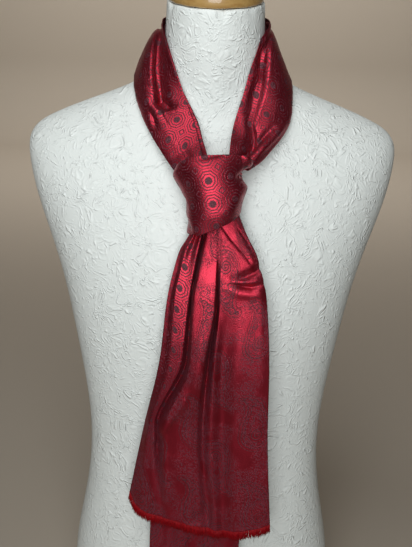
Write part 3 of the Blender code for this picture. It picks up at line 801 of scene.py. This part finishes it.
def point_outward():
    """Turn the faces of the active piece outward and smooth them."""
    bpy.ops.object.mode_set(mode="EDIT")
    bpy.ops.mesh.select_all(action="SELECT")
    bpy.ops.mesh.normals_make_consistent(inside=False)
    bpy.ops.object.mode_set(mode="OBJECT")
    bpy.ops.object.shade_smooth()


core_grid = knot_points(CORE_REACH, CORE_INSET, 40, 120)[:, :-1]
rows, columns = core_grid.shape[:2]
around_core = np.linspace(0, math.tau, columns, endpoint=False)[None, :, None]
down_core = np.linspace(0, 1, rows)[:, None, None]
pleats = CORE_PLEAT_DEPTH * (np.sin(CORE_PLEATS * around_core + 3 * down_core) - 1)
outward = core_grid - core_grid.mean(axis=1, keepdims=True)
outward /= np.linalg.norm(outward, axis=2, keepdims=True)
core_grid = core_grid + outward * pleats * np.sin(np.pi * down_core) ** 0.3
index = np.arange(rows * columns).reshape(rows, columns)
nearby = np.roll(index, -1, axis=1)
corners = (index[:-1], nearby[:-1], nearby[1:], index[1:])
faces = np.stack(corners, axis=-1).reshape(-1, 4).tolist()
points = core_grid.reshape(-1, 3).tolist()
points += [core_grid[0].mean(axis=0).tolist(), core_grid[-1].mean(axis=0).tolist()]
top = len(points) - 2
faces += [[top, b, a] for a, b in zip(index[0].tolist(), nearby[0].tolist())]
faces += [[a, b, top + 1] for a, b in zip(index[-1].tolist(), nearby[-1].tolist())]
mesh = bpy.data.meshes.new("knot_layers")
mesh.from_pydata(points, [], faces)
layer = mesh.uv_layers.new(name="cloth")
places = [mesh.vertices[loop.vertex_index].co for loop in mesh.loops]
layer.data.foreach_set("uv", np.array([(co.x, co.z) for co in places], np.float32).ravel())
mesh.materials.append(medallion_satin)
knot_layers = new_piece("knot_layers", mesh)
point_outward()
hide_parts("knot_core")
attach(knot_layers, "root")

# %% [markdown]
# ### The tails
#
# Below the knot the front tail opens out into lengthwise folds, and the back tail stays
# folded double. A row of the table is a fold line: how far it curls back, where the cloth
# ends below it, then its places across and how far it stands forward at each height. At
# every level the folds are deepened until the line across them is as long as the cloth is
# wide.

# %% The tails' fold lines
FRONT_HEIGHTS = (607, 587, 567, 545, 520, 443, 354, 225)
FRONT_DEPTHS = (-133, -135, -138.5, -143, -148, -154, -148.5, -139)
FRONT_FOLDS = (
    # name, how far back at its top and at its hem, hem, places across at each height,
    # how far forward at each height; in millimetres
    ("left edge", 0, 17, 254, (-17.2, -22.1, -33.1, -39.2, -44.7, -53.1, -71.1, -95.2),
     (-3, -3, -3, -2.5, -2.5, -2.5, -3, -3)),
    ("beaded strip", 1, 13, 240, (-15.5, -19.9, -29.8, -34.7, -40.8, -47.7, -68.2, -84.8),
     (-1.5, -1.2, -1, -1, -1.5, -1.5, -1.5, -1)),
    ("light ridge", 1.5, 10, 235, (-13.8, -17.7, -26.4, -31.4, -36.3, -41.5, -64.7, -75.8),
     (0, 1.2, 1.8, 1.9, 1.6, 1, 0.6, 0.6)),
    ("dark line", 1.5, 8.5, 232, (-10.8, -13.8, -20.3, -24.7, -30.1, -36.4, -62.4, -67.3),
     (-2.5, -1.6, 0.2, 1.6, 1.6, 1.2, 0.4, 1.4)),
    ("striped ridge", 1, 7.5, 231, (-7.8, -9.9, -14, -17.7, -21.5, -29.5, -60.1, -58.8),
     (0.5, 1.4, 2, 2.1, 1.8, 1.4, 0.2, 1.8)),
    ("diagonal valley", 0.5, 6.5, 229, (-5.2, -6.6, -10, -14.3, -18.5, -22.7, -56.6, -50.3),
     (-4, -6, -7, -7, -7, -6.5, -4.5, 1.8)),
    ("diagonal ridge", 0, 4.5, 226, (-3.2, -4.1, -7.2, -11.5, -15.6, -18.8, -45.1, -40),
     (0.6, 4.6, 7.8, 8.9, 9.6, 8.6, 4.8, 1.4)),
    ("soft valley", 0, 3, 222, (-0.9, -1.1, -3.1, -6.3, -10.4, -14.2, -30.1, -26.7),
     (1.8, 5.5, 8.5, 9.6, 10.3, 9.8, 2, 0.4)),
    ("main ridge", 0, 2, 219, (2.6, 3.3, 2.4, 0.4, -3.7, -8.5, -18.5, -13.3),
     (2.2, 5.8, 8.8, 9.9, 10.7, 10.5, 2.4, 1.4)),
    ("main shoulder", 0, 1.5, 217.5, (5.2, 6.6, 7.2, 7.4, 7, -3.4, -9.8, -3),
     (2.3, 5.9, 8.8, 9.8, 10.2, 9.2, 1, 1)),
    ("deep crease", 0, 1, 215.5, (7.8, 9.9, 10.4, 9.8, 9.9, 2.3, -2.3, 6.7),
     (2.2, 5.8, 8.3, 4, -4, -9, -4.5, -1.5)),
    ("crisp ridge", 0, 0.5, 213.5, (11.2, 14.4, 14.7, 12.7, 12.9, 9.1, 6.9, 15.8),
     (2, 5.4, 8.2, 7.8, 5.6, 1.8, 0.2, 0.8)),
    ("red valley", 0, 0, 212, (16.4, 21, 24.7, 25, 24.4, 17, 19.7, 25.5),
     (1.8, 5, 7.4, 6.9, 5.4, -1.5, -4, -3)),
    ("right panel", 0, 0, 214, (21.5, 27.6, 35.8, 40.1, 42.9, 35.2, 35.8, 43.6),
     (1.4, 4.4, 6.6, 6.1, 4.8, 2.8, 1.6, 2)),
    ("panel side", 0, 0, 219.5, (25.4, 32.6, 42.4, 49.6, 55.8, 58.5, 60.1, 67.9),
     (0.8, 3.6, 5.8, 5.2, 4.2, 2.6, 1.8, 2)),
    ("right edge", 2, 1, 224.5, (31.5, 40.3, 51.3, 58, 63.7, 70.2, 73.1, 82.4),
     (0, 2.4, 3.6, 3.8, 3.2, 2, 1, 1)),
)
FRONT_TOP = (598, 616.5)           # its hidden top edge, at the left and the right
FRONT_FULLEST = 1.25               # the most that the folds are deepened
FRONT_ROWS = 300
FRONT_SPAN_STEPS = 9

BACK_HEIGHTS = (606, 583, 520, 443, 354, 225, 125)
BACK_DEPTHS = (-113.5, -117, -126, -126, -124, -123, -123)
BACK_FOLDS = (
    ("free edge", 0, 1, 127, (23, 30, 40, 44, 46, 47, 46),
     (-0.3, -0.3, -0.3, -0.2, -0.2, -0.2, -0.2)),
    ("first ridge", 0, 0, 126, (18, 24, 31, 33, 34, 34, 33),
     (1, 0.9, 0.8, 0.8, 0.7, 0.6, 0.5)),
    ("first valley", 0, 0, 125, (13.5, 18, 22, 22, 21, 20, 19),
     (-1, -1, -0.9, -0.9, -0.9, -0.8, -0.8)),
    ("second ridge", 0, 0, 124, (9, 12, 13, 10, 7, 5, 4),
     (1, 1, 0.9, 0.9, 0.9, 0.8, 0.8)),
    ("second valley", 0, 0, 123.5, (4.5, 6, 4, -3, -8, -11, -12),
     (-1, -1, -1, -1, -1, -1, -1)),
    ("third ridge", 0, 0, 123.5, (0, 0, -6, -15, -22, -25, -27),
     (1, 1, 1, 0.9, 0.9, 0.9, 0.9)),
    ("third valley", 0, 0, 124, (-4.5, -7, -15, -26, -35, -39, -41),
     (-1, -1, -1, -0.9, -0.9, -0.9, -0.9)),
    ("fourth ridge", 0, 0, 125, (-9, -14, -24, -36, -46, -52, -54),
     (0.9, 0.8, 0.8, 0.8, 0.7, 0.6, 0.6)),
    ("fold", 2.2, 2.5, 126, (-14.5, -21, -34, -46, -57, -64, -66),
     (0, 0, 0, 0, 0, 0, 0)),
    ("under left", 4.4, 5, 126, (-12, -18, -31, -42, -53, -60, -62),
     (0, 0, 0, 0, 0, 0, 0)),
    ("under middle", 4.4, 5, 125, (0, -2, -10, -18, -25, -29, -31),
     (0, 0, 0, 0, 0, 0, 0)),
    ("under edge", 4.4, 5, 126, (12, 16, 14, 12, 10, 8, 6),
     (0, 0, 0, 0, 0, 0, 0)),
)
BACK_TOP = (604, 612)
BACK_FULLEST = 2.0
BACK_ROWS = 260
BACK_SPAN_STEPS = 10


# %% Hang the tails
def tail_points(folds, heights, depths, top, rows, span_steps, fullest):
    """A hanging tail's points, a row for each level from its top to its hem."""
    fall = -np.array(heights, float)
    top_back, hem_back, hems = np.array([fold[1:4] for fold in folds], float).T
    first = folds[0][4][0]
    last = folds[-1][4][0]
    starts = np.interp([fold[4][0] for fold in folds], sorted((first, last)), top)
    shares = np.linspace(0, 1, rows + 1)[:, None]
    levels = starts + (hems - starts) * shares
    across = np.stack([curve_through(fall, fold[4], -levels[:, i])
                       for i, fold in enumerate(folds)], axis=1)
    forward = np.stack([curve_through(fall, fold[5], -levels[:, i])
                        for i, fold in enumerate(folds)], axis=1)
    middle = np.stack([curve_through(fall, depths, -level) for level in levels.T], axis=1)
    back = top_back + (hem_back - top_back) * shares

    def line_at(row, fullness, steps):
        """One level's line, with its folds this many times as deep as in the table."""
        depth = middle[row] + back[row] - forward[row] * fullness
        return line_through(np.stack([across[row], depth, levels[row]], axis=1) * MM, steps)

    tried = np.linspace(0, rows, 25).astype(int)
    fullnesses = []
    for row in tried:
        low, high = 0.6, fullest
        for _ in range(16):
            fullness = (low + high) / 2
            line = line_at(row, fullness, 4)
            short = np.linalg.norm(np.diff(line, axis=0), axis=1).sum() < SCARF_WIDTH
            low, high = (fullness, high) if short else (low, fullness)
        fullnesses.append(low)
    print("folds deepened", np.round(fullnesses[::4], 2))
    fullnesses = curve_through(tried, fullnesses, np.arange(rows + 1))
    return np.array([line_at(row, fullness, span_steps)
                     for row, fullness in enumerate(fullnesses)])


def tail_cloth(points):
    """A tail's own coordinates: each thread keeps its place across the cloth."""
    across = arc_along(points, 1)
    across = across / across[:, -1:] * SCARF_WIDTH
    across = np.repeat(across.mean(axis=0, keepdims=True), len(points), axis=0)
    along = arc_along(points, 0)
    return np.stack([across, along[-1:] - along], axis=-1)


FRONT_CREASES = (
    ("right gather", -1.6, 1.6, 2.6, ((221, 225), (231, 239), (244, 254), (254, 268))),
    ("next gather", -1.0, 1.6, 1.6, ((236, 226), (246, 240), (255, 256))),
    ("buckle top", -4.2, 2.0, 5.0, ((236, 280), (246, 277.5), (256, 273), (266, 264))),
    ("buckle ridge", 2.4, 2.2, 2.2, ((229, 281), (240, 282.5), (251, 282), (264, 279))),
    ("buckle below", -3.6, 2.2, 2.6, ((234, 284), (243, 287), (252, 288), (263, 285))),
    ("buckle under", 1.6, 5.0, 3.0, ((226, 288), (239, 293), (252, 295), (266, 292))),
    ("diagonal sheen", 2.4, 7.0, 3.0, ((193, 387), (180, 407), (166, 427), (148, 445))),
    ("bright knuckle", 2.6, 4.0, 4.0, ((186, 396), (184, 407), (180, 418))),
    ("broad bulge", 2.4, 14.0, 14.0, ((170, 450), (162, 485), (158, 512))),
    ("hem dip", -2.2, 7.0, 7.0, ((214, 500), (203, 515), (188, 524))),
    ("hem swell", 1.5, 8.0, 8.0, ((232, 490), (232, 512), (228, 530))),
)

front = tail_points(FRONT_FOLDS, FRONT_HEIGHTS, FRONT_DEPTHS, FRONT_TOP, FRONT_ROWS,
                    FRONT_SPAN_STEPS, FRONT_FULLEST)
back = tail_points(BACK_FOLDS, BACK_HEIGHTS, BACK_DEPTHS, BACK_TOP, BACK_ROWS,
                   BACK_SPAN_STEPS, BACK_FULLEST)
front_cloth = tail_cloth(front)
back_cloth = tail_cloth(back)
front = lay_creases(front, FRONT_CREASES)
front_sheet = make_sheet("front_tail_sheet", front, turned(front_cloth, shift=14), paisley_satin)
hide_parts("front_tail")
back_sheet = make_sheet("back_tail_sheet", back, turned(back_cloth, shift=30), paisley_satin)
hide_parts("back_tail")

# %% [markdown]
# ### The fringe
#
# At each end the weft stops and the warp hangs out as a short, dense, bright fringe. One
# strand is a thin three-sided spike, bent a little. It is repeated along the hem, each one
# with its own length and lean, from a seeded generator so that every run is the same. The
# real yarns are finer than these.

# %% Hang the fringe
FRINGE_DROP = 14 * MM
STRAND_HALF = 0.5 * MM
STRAND_BENDS = (0.0, 0.45, 0.8, 1.0)
STRAND_LEAN = 0.9 * MM             # how far a tip usually leans, sideways or forward
STRAND_HELD = 0.6 * MM             # of each strand, inside the cloth


def hang_fringe(name, node, tail, count, seed):
    """Cut yarn along a tail's hem, in one mesh."""
    chance = np.random.default_rng(seed)
    hem = tail[-1]
    fall = tail[-1] - tail[-8]
    along = np.concatenate([[0.0], np.cumsum(np.linalg.norm(np.diff(hem, axis=0), axis=1))])
    places = np.sort(chance.uniform(0, along[-1], count))
    hem_at = np.stack([np.interp(places, along, c) for c in hem.T], axis=1)
    fall_at = np.stack([np.interp(places, along, c) for c in fall.T], axis=1)
    fall_at /= np.linalg.norm(fall_at, axis=1, keepdims=True)
    side_at = np.stack([np.interp(places, along, c) for c in np.gradient(hem, axis=0).T], axis=1)
    side_at /= np.linalg.norm(side_at, axis=1, keepdims=True)
    out_at = np.cross(side_at, fall_at)
    points = []
    faces = []
    for root, down, side, out in zip(hem_at, fall_at, side_at, out_at):
        drop = FRINGE_DROP * chance.uniform(0.72, 1.04)
        lean = chance.normal(0, STRAND_LEAN)
        stand = chance.normal(0, STRAND_LEAN)
        start = root + out * chance.uniform(-0.5, 0.5) * MM - down * STRAND_HELD
        first = len(points)
        for bend in STRAND_BENDS[:-1]:
            middle = start + down * drop * bend + (side * lean + out * stand) * bend**2
            half = STRAND_HALF * (1 - 0.55 * bend)
            for turn in (0, math.tau / 3, 2 * math.tau / 3):
                points.append(middle + (side * math.cos(turn) + out * math.sin(turn)) * half)
        points.append(start + down * drop + side * lean + out * stand)
        for ring in range(len(STRAND_BENDS) - 2):
            for i in range(3):
                a = first + 3 * ring + i
                b = first + 3 * ring + (i + 1) % 3
                faces.append((a, a + 3, b + 3, b))
        last = first + 3 * (len(STRAND_BENDS) - 2)
        faces += [(last + i, last + 3, last + (i + 1) % 3) for i in range(3)]
        faces.append((first, first + 1, first + 2))
    mesh = bpy.data.meshes.new(name)
    mesh.from_pydata([tuple(p) for p in points], [], faces)
    mesh.materials.append(fringe_yarn)
    piece = new_piece(name, mesh)
    point_outward()
    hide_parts(node)
    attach(piece, "root")
    print(name, count, "strands,", len(faces), "faces")
    return piece


front_strands = hang_fringe("front_fringe_strands", "front_fringe", front, 1400, 4)
back_strands = hang_fringe("back_fringe_strands", "back_fringe", back, 700, 7)

# %% [markdown]
# ## Floor, backdrop and light
#
# A pale floor runs up into a plain backdrop, as in a photo studio. A soft lamp stands in front
# like a tall window, because satin is bright only where it mirrors a lamp: folds that lean
# back mirror the window and turn coral, and folds that lean forward mirror the dim floor.
# A weaker lamp overhead picks out the upper folds, and a faint cool fill opens the shadows.

# %% Studio
def backdrop():
    """A floor that curves up into a wall behind the form."""
    bpy.ops.mesh.primitive_plane_add(size=1)
    sweep = bpy.context.active_object
    sweep.name = "studio_sweep"
    sweep.scale = (9, 7, 1)
    sweep.location = (0, 1, 0)
    bpy.ops.object.transform_apply(location=True, scale=True)
    bpy.ops.object.mode_set(mode="EDIT")
    mesh = bmesh.from_edit_mesh(sweep.data)
    for edge in mesh.edges:
        edge.select = all(v.co.y > 1 for v in edge.verts)
    bmesh.update_edit_mesh(sweep.data)
    bpy.ops.mesh.extrude_region_move(TRANSFORM_OT_translate={"value": (0, 0, 3.2)})
    bpy.ops.object.mode_set(mode="OBJECT")
    bend = sweep.modifiers.new("curve", "BEVEL")
    bend.width = 0.5
    bend.segments = 16
    bend.limit_method = "ANGLE"
    bpy.ops.object.modifier_apply(modifier="curve")
    bpy.ops.object.shade_smooth()
    paper = new_material("backdrop_paper", Base_Color=colour("AEA496"), Roughness=0.9)
    sweep.data.materials.append(paper)


LAMPS = (
    # name, place, aim, width and height, watts, tint, spread of the beam in degrees
    ("window_lamp", (-0.1, -1.5, 1.22), (-0.1, 0, 1.1), (0.95, 2.0), 13.2, (0.95, 0.98, 1.0),
     110),
    ("ceiling_lamp", (-0.35, -0.95, 2.1), (0, -0.14, 0.7), (1.6, 0.9), 3.5, (0.95, 0.98, 1.0),
     80),
    ("backdrop_lamp", (0, 2.6, 2.6), (0, 4.4, 0.9), (3.2, 0.5), 75, (1.0, 0.98, 0.96), 180),
)

backdrop()
for name, place, aim, size, watts, tint, spread in LAMPS:
    data = bpy.data.lights.new(name, "AREA")
    data.shape = "RECTANGLE"
    data.size, data.size_y = size
    data.energy = watts
    data.color = tint
    data.spread = math.radians(spread)
    lamp = bpy.data.objects.new(name, data)
    bpy.context.collection.objects.link(lamp)
    turn = (Vector(aim) - Vector(place)).to_track_quat("-Z", "Y")
    lamp.matrix_world = Matrix.Translation(place) @ turn.to_matrix().to_4x4()
world = bpy.data.worlds.new("studio_air")
world.use_nodes = True
world.node_tree.nodes["Background"].inputs["Color"].default_value = colour("D8DCE4")
world.node_tree.nodes["Background"].inputs["Strength"].default_value = 0.15
bpy.context.scene.world = world
bpy.context.scene.view_settings.view_transform = "Standard"
